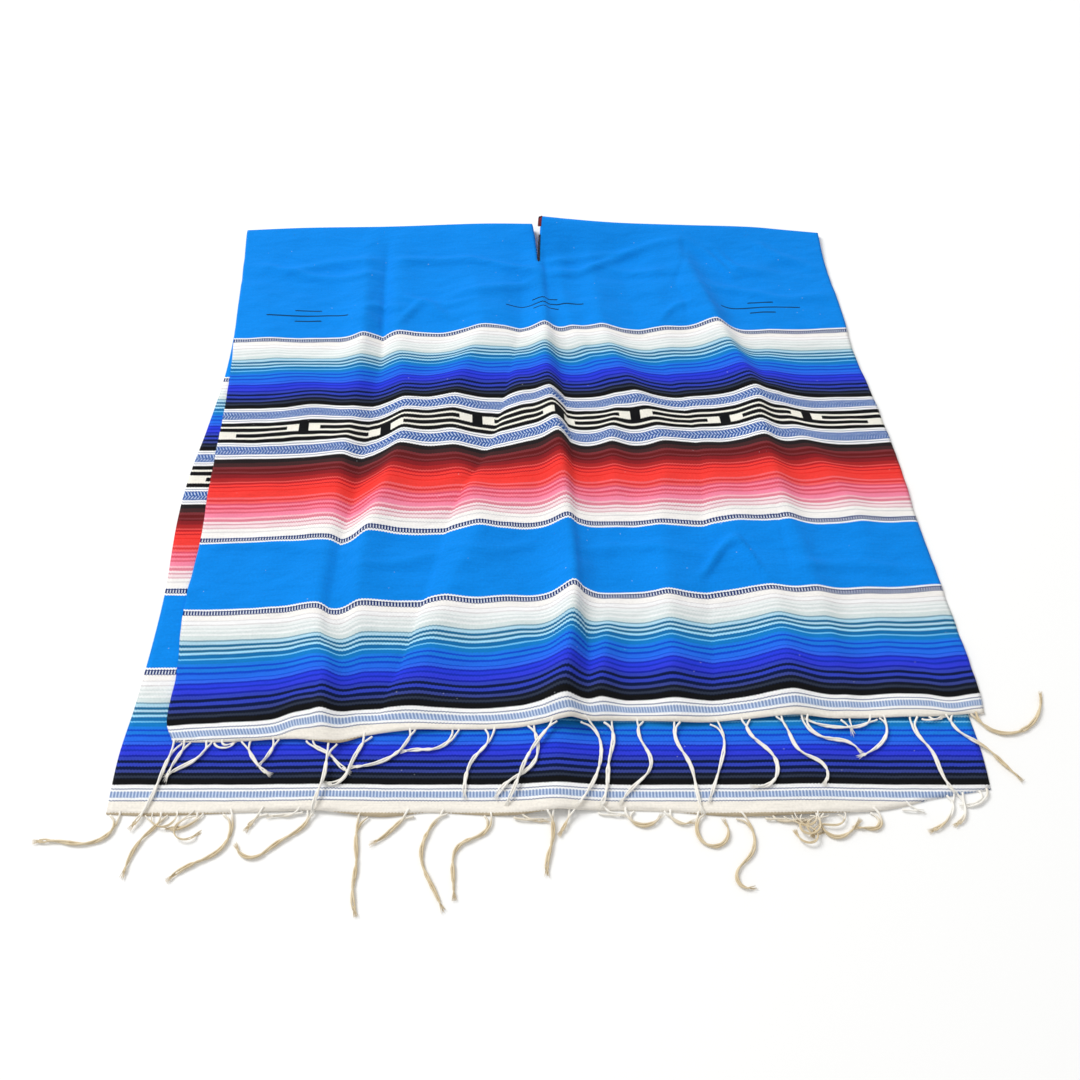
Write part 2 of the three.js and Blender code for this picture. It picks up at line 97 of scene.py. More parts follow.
# Ridges run from hem to fold through the levels: across is 0 at the left selvedge and 1 at the right,
# left and right are the widths of a ridge's flanks
ridgeColumns = ("across", "height", "left", "right")
frontLevels = (0, 45, 215, 335, 500, 610, 775, 1040)
frontRidges = namedRows(
    ridgeColumns,
    ((0.11, 0.11, 0.1, 0.1, 0.1, 0.13, 0.06, 0.05), (3, 5, 3, 2, 1, 5, 4, 2), 50, 60),
    ((0.19, 0.19, 0.178, 0.18, 0.19, 0.2, 0.21, 0.215), (4, 20, 14, 9, 12, 8, 16, 4), 34, 24),
    ((0.24, 0.24, 0.228, 0.232, 0.272, 0.276, 0.265, 0.27), (0, 0, 12, 14, 14, 9, 8, 4), 24, 36),
    ((0.3, 0.3, 0.345, 0.385, 0.35, 0.355, 0.4, 0.38), (2, 8, 9, 12, 10, 13, 12, 5), 45, 40),
    ((0.44, 0.46, 0.42, 0.43, 0.46, 0.455, 0.44, 0.45), (0, 6, 6, 2, 9, 12, 9, 4), 50, 40),
    ((0.487, 0.487, 0.512, 0.51, 0.505, 0.5, 0.505, 0.507), (15, 27, 24, 17, 24, 18, 17, 5), 28, 22),
    ((0.53, 0.53, 0.56, 0.58, 0.585, 0.6, 0.548, 0.54), (3, 17, 0, 0, 8, 4, 8, 5), 20, 25),
    ((0.62, 0.62, 0.635, 0.64, 0.66, 0.63, 0.598, 0.6), (4, 15, 10, 6, 9, 13, 12, 5), 30, 38),
    ((0.765, 0.765, 0.77, 0.745, 0.715, 0.72, 0.7, 0.71), (4, 17, 7, 6, 4, 1, 7, 4), 45, 38),
    ((0.83, 0.83, 0.83, 0.818, 0.81, 0.815, 0.783, 0.74), (3, 6, 9, 12, 18, 20, 20, 7), 38, 26),
    ((0.9, 0.9, 0.9, 0.92, 0.865, 0.85, 0.87, 0.9), (2, 5, 2, 5, 8, 8, 1, 3), 30, 34),
)
# Sharp valleys between the ridges, left where the cloth was folded for keeping
frontValleys = namedRows(
    ridgeColumns,
    ((0.17, 0.178, 0.192, 0.196, 0.224, 0.232, 0.243, 0.246), (0, 2, 3, 4, 6, 4, 6, 4), 12, 8),
    ((0.24, 0.262, 0.313, 0.335, 0.4, 0.43, 0.466, 0.48), (0, 4, 6, 6, 6, 5, 2, 0), 18, 8),
    ((0.514, 0.515, 0.521, 0.52, 0.522, 0.522, 0.518, 0.515), (0, 3, 5, 5, 5, 4, 1, 2), 6, 16),
    ((0.66, 0.67, 0.69, 0.7, 0.71, 0.7, 0.66, 0.64), (0, 2, 2, 3, 2, 2, 1, 2), 20, 9),
)
# Soft creases in the plain fields, from left to right, with the height and half width of each
fieldCreases = namedRows(
    ("x", "y", "height", "width"),
    ((-320, -198, -119, -62), (961, 958, 940, 925), 6.8, 9),
    ((-215, -194, -127, -70), (860, 867, 878, 893), 6.0, 10),
    ((-525, -434, -351), (931, 955, 955), 5.6, 10),
    ((-580, -505, -445, -352), (946, 925, 910, 919), 6.0, 9),
    ((-372, -345, -306), (822, 833, 827), 4.5, 9),
    ((-307, -269, -220), (792, 839, 805), 6.4, 13),
    ((-299, -250, -174), (858, 841, 844), 4.5, 8),
    ((-41, 18, 82, 139, 214), (922, 925, 961, 991, 1016), 6.8, 9),
    ((-41, 68, 112), (952, 970, 982), 4.9, 8),
    ((214, 257, 300), (1016, 979, 922), 6.8, 12),
    ((268, 312, 360), (997, 940, 934), 6.0, 11),
    ((340, 389, 450), (1013, 976, 946), 5.6, 12),
    ((268, 328, 389, 448), (887, 873, 856, 864), 5.2, 10),
    ((156, 186, 216), (794, 830, 841), 4.9, 9),
    ((77, 116, 185), (936, 924, 924), 4.5, 9),
    ((-100, -60, -20), (868, 868, 868), -6.0, 40),
    ((183, 239, 276), (247, 311, 247), 7.9, 9),
    ((-560, -480, -390), (302, 306, 290), 3.8, 9),
    ((-320, -270, -215), (262, 270, 286), 4.1, 9),
    ((-190, -130, -70), (296, 290, 304), 4.1, 8),
    ((20, 90, 160), (296, 300, 292), 4.1, 9),
    ((330, 410, 490), (262, 268, 258), 4.1, 9),
)
# Thin pressed folds that run towards the shoulders
pressedFolds = namedRows(
    ("y", "x", "depth", "width"),
    ((770, 880, 1010), (-335, -339, -343), 2.4, 4),
    ((800, 880, 985), (-39, -43, -49), 2.4, 4),
    ((800, 850, 893, 952, 1025), (206, 206, 192, 210, 215), 2.2, 5),
    ((250, 310, 390), (317, 313, 308), 1.8, 4),
)
creaseEnd = 32.0  # mm over which a crease dies away
ridgeReach = 4  # a ridge is over this many flanks away from its crest
wrinkles = {  # shallow ones all over: their heights, and how long they run across and along the cloth
    "base": 1.2,
    "broad": 2.2,
    "broadRun": (110, 32),
    "broadSlant": 400,
    "fine": 1.1,
    "fineRun": (34, 20),
    "seeds": (3, 10),
}
backLevels = (0, 130, 300, 1160)
backRidges = namedRows(
    ridgeColumns,
    ((0.24, 0.24, 0.24, 0.24), (4, 3, 0, 0), 60, 70),
    ((0.508, 0.508, 0.508, 0.508), (11, 8, 0, 0), 44, 34),
    ((0.8, 0.8, 0.8, 0.8), (5, 3, 0, 0), 70, 60),
)

# Shoulder fold: y of its outermost edge, and the height of its roll left and right of the neck slit
foldBow = {
    "across": (0, 0.1, 0.25, 0.41, 0.5, 0.6, 0.76, 0.88, 0.95, 1),
    "y": (1051, 1057, 1059, 1065, 1062.5, 1059, 1058, 1057, 1050, 1045),
}
rollLeft = {"across": (0, 0.25, 0.41, 0.507), "height": (12, 15, 18, 20)}
rollRight = {"across": (0.507, 0.56, 0.65, 0.76, 0.88, 1), "height": (43, 37, 27, 21, 16, 10)}

neckSlit = {
    "x": -60.0,
    "across": 0.507,
    "openLeft": 12.0,  # from its line to its left lip at the fold, and to the right one
    "openRight": 7.0,
    "endHalf": 1.8,
    "flare": 1.8,  # the opening widens towards the fold
    "frontLength": 107.0,
    "backLength": 205.0,
    "spread": 9,  # columns over which the cloth gives way beside the slit
    "ahead": 40.0,  # and how far past the slit's end
    "closing": (-6.0, 30.0),
}


def through(at, value, x):  # smooth curve through the points (at[i], value[i])
    last = len(at) - 1
    if x <= at[0]:
        return value[0]
    if x >= at[last]:
        return value[last]
    i = 0
    while x > at[i + 1]:
        i += 1

    def slope(k):
        before, after = max(k - 1, 0), min(k + 1, last)
        return (value[after] - value[before]) / (at[after] - at[before])

    span = at[i + 1] - at[i]
    u = (x - at[i]) / span
    u2, u3 = u * u, u * u * u
    return ((2 * u3 - 3 * u2 + 1) * value[i] + (u3 - 2 * u2 + u) * span * slope(i)
            + (3 * u2 - 2 * u3) * value[i + 1] + (u3 - u2) * span * slope(i + 1))


def smooth(low, high, x):
    t = min(max((x - low) / (high - low), 0.0), 1.0)
    return t * t * (3 - 2 * t)


def mix(a, b, t):
    return a + (b - a) * t


def mix3(left, middle, right, t):  # along a curve through the three, the middle one at a half
    return left * (1 - t) * (1 - 2 * t) + 4 * middle * t * (1 - t) + right * t * (2 * t - 1)


def ridgeHeight(ridges, levels, across, fromHem, width, sharpness):
    height = 0.0
    for ridge in ridges:
        off = (across - through(levels, ridge["across"], fromHem)) * width
        flank = ridge["left"] if off < 0 else ridge["right"]
        if abs(off) < ridgeReach * flank:
            rise = max(through(levels, ridge["height"], fromHem), 0)
            height += rise * math.exp(-(abs(off / flank) ** sharpness))
    return height


def backY(across):
    return clothPlan["backHemLine"] + through(backHemWander["across"], backHemWander["drift"], across)


def backSides(y):
    up = y - clothPlan["backHemLine"]
    return tuple(through(backEdges["fromHem"], backEdges[side], up) for side in ("left", "right"))


def backRise(x, y):
    left, right = backSides(y)
    width = right - left
    return ridgeHeight(backRidges, backLevels, (x - left) / width, y - clothPlan["backHemLine"], width,
                       clothPlan["ridgeSharpness"])


def lieOn(x, y):  # height of what lies below: the back layer, and the floor past its edges
    left, right = backSides(y)
    across = min(max((x - left) / (right - left), 0.0), 1.0)
    beside = max(left - x, x - right, 0)
    strip = clothPlan["stripDepth"] + clothPlan["seamGap"] + clothPlan["stripInset"]
    below = max(backY(across) - strip - y, 0)
    share = 1 - smooth(clothPlan["overhangFrom"], clothPlan["overhangTo"], math.hypot(beside, below))
    return share * (clothPlan["wall"] + backRise(x, y))


def rollHeight(across):
    side = rollLeft if across < neckSlit["across"] else rollRight
    return through(side["across"], side["height"], across)


def rollY(across):
    half = (rollHeight(across) - clothPlan["wall"]) / 2
    bow = through(foldBow["across"], foldBow["y"], across)
    return bow - clothPlan["wall"] / 2 - clothPlan["foldDepth"] * half


def wrinkle(x, y):
    (long, wide), (fineLong, fineWide) = wrinkles["broadRun"], wrinkles["fineRun"]
    broad = noise.noise(Vector((x / long + y / wrinkles["broadSlant"], y / wide, wrinkles["seeds"][0])))
    fine = noise.noise(Vector((x / fineLong, y / fineWide, wrinkles["seeds"][1])))
    return wrinkles["base"] + wrinkles["broad"] * broad + wrinkles["fine"] * fine


def onCrease(run, beside, at, line, width):  # 1 on the crease's line, less beside it and past its ends
    if not at[0] - creaseEnd < run < at[-1] + creaseEnd:
        return 0.0
    away = beside - through(at, line, run)
    begun = smooth(at[0] - creaseEnd, at[0] + creaseEnd, run)
    ended = smooth(at[-1] - creaseEnd, at[-1] + creaseEnd, run)
    return begun * (1 - ended) * math.exp(-min((away / width) ** 2, 40))


def creases(x, y):
    rise = sum(c["height"] * onCrease(x, y, c["x"], c["y"], c["width"]) for c in fieldCreases)
    return rise - sum(f["depth"] * onCrease(y, x, f["y"], f["x"], f["width"]) for f in pressedFolds)


def backPoint(across, up):
    y = mix(backY(across), clothPlan["seamLine"] - clothPlan["seamGap"], up)
    left, right = backSides(y)
    x = mix(left, right, across)
    return Vector((x, y, clothPlan["wall"] / 2 + backRise(x, y)))


def frontHem(across):
    wander = through(frontHemWander["across"], frontHemWander["drift"], across)
    return mix(clothPlan["frontHemLeft"], clothPlan["frontHemRight"], across) + wander


def frontPoint(across, up):
    hem = frontHem(across)
    reach = rollY(across) - hem
    fromHem = reach * up
    left = through(frontEdges["fromHem"], frontEdges["left"], fromHem)
    right = through(frontEdges["fromHem"], frontEdges["right"], fromHem)
    width = right - left
    ridge = ridgeHeight(frontRidges, frontLevels, across, fromHem, width, clothPlan["ridgeSharpness"])
    valley = ridgeHeight(frontValleys, frontLevels, across, fromHem, width, clothPlan["valleySharpness"])
    ridge = max(ridge - valley, 0)
    fade = clothPlan["dragFade"]
    held = mix(clothPlan["hemHeld"], 1, smooth(0, fade, fromHem)) * smooth(0, fade, reach - fromHem)
    x = mix(left, right, across)
    y = hem + fromHem + clothPlan["dragShare"] * ridge * held
    rise = max(ridge + wrinkle(x, y) + creases(x, y), 0)
    lying = lieOn(x, y) + clothPlan["layerGap"] + clothPlan["wall"] / 2 + rise
    onFold = smooth(reach - clothPlan["foldFade"], reach, fromHem)
    return Vector((x, y, mix(lying, rollHeight(across) - clothPlan["wall"] / 2, onFold * onFold)))


def foldPoint(across, turn):
    half = (rollHeight(across) - clothPlan["wall"]) / 2
    angle = math.pi * min(turn, 1.0)
    top = frontPoint(across, 1)
    y = rollY(across) + clothPlan["foldDepth"] * half * math.sin(angle)
    if turn > 1:
        y = clothPlan["seamLine"]
    return Vector((top.x, y, clothPlan["wall"] / 2 + half * (1 + math.cos(angle))))


planLeft = min(backPoint(0, k / 40).x for k in range(41))
planTop = max(foldPoint(k / 60, 0.5).y + clothPlan["wall"] / 2 for k in range(61))
planShift = Vector((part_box("back_panel")[0].x * 1000 - planLeft,
                    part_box("front_panel")[1].y * 1000 - planTop, 0))


def toRow(point):
    return (point + planShift) / 1000


def finishPiece(bm, name, material, replaced, smoothShade=True):
    mesh = bpy.data.meshes.new(name)
    bm.to_mesh(mesh)
    bm.free()
    for face in mesh.polygons:
        face.use_smooth = smoothShade
    piece = bpy.data.objects.new(name, mesh)
    bpy.context.scene.collection.objects.link(piece)
    mesh.materials.append(material)
    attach(piece, "root")
    if replaced:
        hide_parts(replaced)
    print(name, len(mesh.polygons), "faces")
    return piece


# Materials

def linearColour(hexText):
    channels = [int(hexText[i:i + 2], 16) / 255 for i in (1, 3, 5)]
    return (*[c / 12.92 if c <= 0.04045 else ((c + 0.055) / 1.055) ** 2.4 for c in channels], 1.0)


def addNode(tree, kind, inputs=None, **settings):
    made = tree.nodes.new(kind)
    for key, value in settings.items():
        setattr(made, key, value)
    for key, value in (inputs or {}).items():
        if isinstance(value, bpy.types.NodeSocket):
            tree.links.new(value, made.inputs[key])
        else:
            made.inputs[key].default_value = value
    return made


yarn = {  # dyed acrylic and cotton weft yarns, and a darker brownish line along the hem's very edge
    "cream": "#fff9ee",
    "white": "#ffffff",
    "warmWhite": "#fffcf8",
    "navyLine": "#55678f",
    "ladderPale": "#e3e9f2",
    "ladderNavy": "#22356f",
    "dashBlue": "#8aa2cd",
    "dashPale": "#d3e0f4",
    "azure": "#088cf0",
    "black": "#121315",
    "dusk": "#2f374a",
    "ink": "#131a2c",
    "heather": "#3a4794",
    "midnight": "#0b1a45",
    "iris": "#3345bf",
    "royalDark": "#1a29a6",
    "violet": "#3240e0",
    "royal": "#1c33bc",
    "cobalt": "#2a40e6",
    "lapisBright": "#326af2",
    "lapis": "#144bd2",
    "brightBlue": "#2570ee",
    "deepAzure": "#1e7fe8",
    "tealBlue": "#157ecb",
    "sky": "#74cafa",
    "teal": "#1871b0",
    "paleSky": "#a8e2fc",
    "steel": "#266e9b",
    "ice": "#b4ddef",
    "mist": "#7aa4b8",
    "frost": "#dbe7e6",
    "haze": "#e0e8e7",
    "milk": "#f4f8f7",
    "greyLine": "#e2dfe0",
    "pinkHair": "#e5bcc4",
    "whitePink": "#fde7ea",
    "pinkThin": "#e1a3b0",
    "dustyRose": "#e68799",
    "pinkLight": "#ffc0cc",
    "pink": "#fb8ca8",
    "rose": "#e8667c",
    "brightPink": "#ff879d",
    "deepRose": "#e4546a",
    "coral": "#fd686c",
    "crimson": "#e43c3e",
    "red": "#fb423c",
    "scarlet": "#f0302a",
    "darkRed": "#c4242a",
    "softRed": "#e8524f",
    "garnet": "#b02a2b",
    "ruby": "#8c2328",
    "wine": "#6a1d1f",
    "maroon": "#7f3438",
    "umber": "#45292a",
    "brownBlack": "#262123",
    # hemEdge: a darker brownish line along the very edge of the hem
    "hemEdge": "#d3c2a4",
    "greca": "#fbf8ec",
    "zigzagBlue": "#2a5aa6",
    "zigzagDash": "#cbd9ef",
    "motif": "#123049",
}

# Stripes as yarn and width in millimetres, from the hem up
hemStripes = [("hemEdge", 1.6), ("cream", 15.8), ("navyLine", 1.3), ("white", 3.4), ("dashPale", 8.4),
              ("white", 3), ("navyLine", 1.3), ("white", 5.2)]
ombreStripes = [("black", 7), ("ink", 1.5), ("dusk", 3), ("ink", 4.2), ("heather", 3.4),
                ("midnight", 4.6), ("iris", 4.5), ("midnight", 3.8), ("iris", 4.6), ("royalDark", 2.8),
                ("violet", 4.6), ("royal", 3), ("cobalt", 3.6), ("royal", 2.6), ("lapisBright", 3.4),
                ("lapis", 1.6), ("brightBlue", 5.8), ("lapis", 3), ("deepAzure", 4.6), ("lapis", 2.4),
                ("deepAzure", 3.6), ("tealBlue", 6), ("sky", 2.2), ("teal", 5.4), ("paleSky", 3),
                ("steel", 3.8), ("ice", 3.6), ("steel", 3.6), ("ice", 4.8), ("mist", 2.2),
                ("frost", 6.5), ("milk", 2.8), ("haze", 4), ("milk", 3), ("haze", 2.4), ("milk", 4.4),
                ("greyLine", 2), ("white", 4.6), ("greyLine", 1.7), ("warmWhite", 8.5),
                ("ladderPale", 7.8), ("white", 2.9)]
redStripes = [("white", 2.7), ("ladderPale", 9.2), ("warmWhite", 9.6), ("greyLine", 1.6),
              ("warmWhite", 5.6), ("pinkHair", 2.4), ("whitePink", 4.2), ("pinkThin", 2.8),
              ("whitePink", 4.2), ("dustyRose", 4.6), ("pinkLight", 3.4), ("pink", 7.4), ("rose", 3.4),
              ("brightPink", 4.2), ("deepRose", 3.4), ("brightPink", 4), ("deepRose", 3.4),
              ("coral", 4), ("crimson", 3.4), ("coral", 4), ("red", 4.6), ("red", 7), ("scarlet", 2),
              ("red", 5.6), ("darkRed", 2), ("red", 3.8), ("darkRed", 3.2), ("softRed", 2.4),
              ("garnet", 7.4), ("ruby", 7.2), ("wine", 2.4), ("maroon", 3.2), ("wine", 5.4),
              ("maroon", 4.6), ("umber", 7.8), ("brownBlack", 8)]
zigzagStripes = [("white", 3.6), ("navyLine", 1.2), ("white", 3), ("zigzagBlue", 17), ("white", 3),
                 ("navyLine", 1.2), ("white", 3.6)]

# Where the bands lie, in millimetres from the hem
bands = {
    "hem": (0, 40),
    "lowOmbre": (40, 214),
    "red": (335, 504),
    "lowZigzag": (504, 538),
    "greca": (538, 582),
    "highZigzag": (582, 614),
    "highOmbre": (614, 779),
}

weave = {
    "rungPitch": 4.3,  # mm, two warps
    "rungShare": 0.6,  # dark share of a ladder
    "hemDash": (22.1, 30.5),  # mm from the hem
    "redLadder": (338.2, 346.4),
    "rail": 1.4,  # of the ladder in the red band, and of the one in the ombre band
    "ombreRail": 1.1,
    "warpRise": 0.8,  # step of the weft over every other warp
    "wander": 1.6,  # how far the weft strays
    "highFrom": 400,  # the upper ombre band starts past this
    "zigzagPitch": 5.2,  # mm, drawn coarser than the real 3 or so, to show
    "zigzagFrom": 0.5,  # its dashes, from the band's middle line
    "zigzagTo": 7.4,
    "zigzagSlant": 0.5,
    "zigzagShare": 0.36,
    "keyBlack": 8.0,
    "keyPair": 12.0,  # a black row and a cream one
    "keyStep": 142.5,  # from block to block
    "keyBlock": 8.5,  # half width
    "keySquare": 28.5,  # half width of the gap beside a block
    "motifs": (134, 570, 977),  # mm from the left selvedge
    "motifHeight": 837,  # mm from the hem
    "motifLong": 78,  # half lengths of the middle line and of the short ones
    "motifShort": 25,
    "motifRise": 13,
    "motifHalf": 1.35,  # half thickness
    "weftPitch": 1.7,  # mm, drawn coarser than the real 1.0 so that it shows
    "depth": 0.885,  # tone of all the yarns
}
rampRows = 30  # stripes in one colour ramp, which holds 32 at most
clothTone = {  # noise scales in turns a millimetre, and how much each changes the tone
    "wanderScale": 0.035,
    "rowScale": (0.012, 0.62, 1.0),
    "row": 0.2,
    "patchScale": 0.012,
    "patch": 0.16,
    "grainScale": 0.3,
    "grain": 0.3,
    "lintScale": 0.045,
    "lintSize": 0.035,
    "lint": 0.35,
    "lintHex": "#e8eef2",
}
clothRelief = {  # bump heights in metres
    "fuzzScale": 0.9,
    "weave": 0.0006,
    "weaveShare": 0.5,
    "weaveStrength": 0.35,
    "puckerScale": (0.022, 0.05, 1.0),
    "pucker": 0.0034,
}


def clothMaterial():
    material = bpy.data.materials.new("weft-faced blanket cloth")  # matt, ribbed, faintly fuzzy
    material.use_nodes = True
    tree = material.node_tree
    tree.nodes.clear()

    def math1(operation, a, b=0.0, c=0.0):
        return addNode(tree, "ShaderNodeMath", {0: a, 1: b, 2: c}, operation=operation).outputs[0]

    def inside(value, low, high):
        return math1("MULTIPLY", math1("GREATER_THAN", value, low), math1("LESS_THAN", value, high))

    def blend(mask, under, over):
        made = addNode(tree, "ShaderNodeMix", {0: mask, 6: under, 7: over}, data_type="RGBA")
        return made.outputs[2]

    def noiseOut(vector, scale, detail):
        made = addNode(tree, "ShaderNodeTexNoise", {"Vector": vector, "Scale": scale, "Detail": detail})
        return made.outputs[0]

    def mapped(scale):
        return addNode(tree, "ShaderNodeMapping", {"Vector": flat, "Scale": scale}).outputs[0]

    def spread(value, amount, centre=0.0):  # noise about a half, made to swing about the centre
        return math1("MULTIPLY_ADD", value, amount, centre - amount / 2)

    def stripes(rows, place):  # place runs from 0 to 1 over the rows
        total, at, colour = sum(row[1] for row in rows), 0.0, None
        for first in range(0, len(rows), rampRows):
            ramp = addNode(tree, "ShaderNodeValToRGB", {0: place})
            ramp.color_ramp.interpolation = "CONSTANT"
            begins = at / total
            for i, (name, width) in enumerate(rows[first:first + rampRows]):
                stop = ramp.color_ramp.elements[i] if i < 2 else ramp.color_ramp.elements.new(at / total)
                stop.position = at / total
                stop.color = linearColour(yarn[name])
                at += width
            own = ramp.outputs[0]
            colour = blend(math1("GREATER_THAN", place, begins), colour, own) if first else own
        return colour

    def ladderOn(place, low, high, rail):  # rungs between two rails
        made = math1("MULTIPLY", rung, inside(place, low, high))
        made = math1("MAXIMUM", made, inside(place, low, low + rail))
        return math1("MAXIMUM", made, inside(place, high - rail, high))

    uv = addNode(tree, "ShaderNodeUVMap", uv_map="clothMetres").outputs[0]
    flat = addNode(tree, "ShaderNodeVectorMath", {0: uv, 3: 1000.0}, operation="SCALE").outputs[0]
    split = addNode(tree, "ShaderNodeSeparateXYZ", {0: flat})
    u = split.outputs[0]

    # Weft rows wander a little and step over alternate warps
    wander = noiseOut(flat, clothTone["wanderScale"], 2.0)
    warpPhase = math1("FRACT", math1("DIVIDE", u, weave["rungPitch"]))
    warpStep = math1("MULTIPLY", math1("GREATER_THAN", warpPhase, 0.5), weave["warpRise"])
    v = math1("ADD", split.outputs[1], math1("ADD", spread(wander, weave["wander"]), warpStep))

    rung = math1("LESS_THAN", warpPhase, weave["rungShare"])

    def share(name):
        low, high = bands[name]
        return math1("DIVIDE", math1("SUBTRACT", v, low), high - low)

    isHigh = math1("GREATER_THAN", v, weave["highFrom"])
    shares = {0: isHigh, 2: share("lowOmbre"), 3: share("highOmbre")}
    ombreShare = addNode(tree, "ShaderNodeMix", shares).outputs[0]
    ombre = stripes(ombreStripes, ombreShare)
    total = sum(width for name, width in ombreStripes)
    high = 1 - ombreStripes[-1][1] / total
    low = high - ombreStripes[-2][1] / total
    ladder = ladderOn(ombreShare, low, high, weave["ombreRail"] / total)
    ombre = blend(ladder, ombre, linearColour(yarn["ladderNavy"]))

    colour = blend(inside(v, *bands["lowOmbre"]), linearColour(yarn["azure"]), ombre)
    colour = blend(inside(v, *bands["highOmbre"]), colour, ombre)

    red = stripes(redStripes, share("red"))
    ladder = ladderOn(v, *weave["redLadder"], weave["rail"])
    colour = blend(inside(v, *bands["red"]), colour, blend(ladder, red, linearColour(yarn["ladderNavy"])))

    hem = stripes(hemStripes, share("hem"))
    dashes = math1("MULTIPLY", rung, inside(v, *weave["hemDash"]))
    hem = blend(dashes, hem, linearColour(yarn["dashBlue"]))
    colour = blend(math1("LESS_THAN", v, bands["hem"][1]), colour, hem)

    for name in ("lowZigzag", "highZigzag"):
        low, high = bands[name]
        middle = (low + high) / 2
        away = math1("SUBTRACT", v, middle)
        lean = math1("MULTIPLY", math1("ABSOLUTE", away), weave["zigzagSlant"])
        offset = math1("MULTIPLY", math1("GREATER_THAN", away, 0.0), weave["zigzagPitch"] / 2)
        slanted = math1("ADD", math1("ADD", u, lean), offset)
        phase = math1("FRACT", math1("DIVIDE", slanted, weave["zigzagPitch"]))
        rows = inside(math1("ABSOLUTE", away), weave["zigzagFrom"], weave["zigzagTo"])
        dash = math1("MULTIPLY", math1("LESS_THAN", phase, weave["zigzagShare"]), rows)
        ground = blend(dash, stripes(zigzagStripes, share(name)), linearColour(yarn["zigzagDash"]))
        colour = blend(inside(v, low, high), colour, ground)

    # Stepped key pattern: three black lines that blocks join in turn from above and from below
    low, high = bands["greca"]
    down = math1("SUBTRACT", high, v)
    pair = math1("FLOOR", math1("DIVIDE", down, weave["keyPair"]))
    isBlack = math1("LESS_THAN", math1("FLOORED_MODULO", down, weave["keyPair"]), weave["keyBlack"])
    step = math1("DIVIDE", u, weave["keyStep"])
    nearest = math1("ROUND", step)
    away = math1("MULTIPLY", math1("ABSOLUTE", math1("SUBTRACT", step, nearest)), weave["keyStep"])
    isUpper = math1("GREATER_THAN", math1("FLOORED_MODULO", nearest, 2), 0.5)
    isLower = math1("SUBTRACT", 1.0, isUpper)
    onCloth = inside(u, weave["keyBlock"], clothPlan["width"] - weave["keyBlock"])
    block = math1("MULTIPLY", math1("LESS_THAN", away, weave["keyBlock"]), onCloth)
    near = math1("LESS_THAN", away, weave["keySquare"])

    def rowIs(n):
        return math1("MULTIPLY", isBlack, math1("COMPARE", pair, n, 0.4))

    def without(row, kind):  # a black row that stops short of the blocks of one kind
        return math1("MULTIPLY", row, math1("SUBTRACT", 1.0, math1("MULTIPLY", near, kind)))

    black = math1("MAXIMUM", rowIs(0), rowIs(3))
    black = math1("MAXIMUM", black, without(rowIs(1), isUpper))
    black = math1("MAXIMUM", black, without(rowIs(2), isLower))
    reach = 2 * weave["keyPair"] + weave["keyBlack"]
    fromTop = math1("MULTIPLY", math1("MULTIPLY", block, isUpper), math1("LESS_THAN", down, reach))
    pastTop = math1("GREATER_THAN", down, weave["keyPair"])
    toFoot = math1("MULTIPLY", math1("MULTIPLY", block, isLower), pastTop)
    black = math1("MAXIMUM", math1("MAXIMUM", black, fromTop), toFoot)
    keys = blend(black, linearColour(yarn["greca"]), linearColour(yarn["black"]))
    colour = blend(inside(v, low, high), colour, keys)

    # Small brocaded lines on the shoulders
    lines = None
    for centre in weave["motifs"]:
        aside = math1("ABSOLUTE", math1("SUBTRACT", u, centre))
        rise = weave["motifRise"]
        for rise, half in ((0, "motifLong"), (rise, "motifShort"), (-rise, "motifShort")):
            height = weave["motifHeight"] + rise
            line = math1("MULTIPLY", math1("LESS_THAN", aside, weave[half]),
                         inside(v, height - weave["motifHalf"], height + weave["motifHalf"]))
            lines = line if lines is None else math1("MAXIMUM", lines, line)
    colour = blend(lines, colour, linearColour(yarn["motif"]))

    # Yarns differ a little in tone, row by row and in broad patches
    rowNoise = noiseOut(mapped(clothTone["rowScale"]), 1.0, 3.0)
    patchNoise = noiseOut(flat, clothTone["patchScale"], 3.0)
    grain = noiseOut(flat, clothTone["grainScale"], 3.0)
    tone = math1("ADD", spread(rowNoise, clothTone["row"], 1.0), spread(patchNoise, clothTone["patch"]))
    tone = math1("MULTIPLY", math1("ADD", tone, spread(grain, clothTone["grain"])), weave["depth"])
    toned = addNode(tree, "ShaderNodeHueSaturation", {"Color": colour, "Value": tone}).outputs[0]

    # Lint: a few pale specks
    speckAt = {"Vector": flat, "Scale": clothTone["lintScale"]}
    speck = addNode(tree, "ShaderNodeTexVoronoi", speckAt, feature="F1").outputs[0]
    lint = math1("MULTIPLY", math1("LESS_THAN", speck, clothTone["lintSize"]), clothTone["lint"])
    coloured = blend(lint, toned, linearColour(clothTone["lintHex"]))

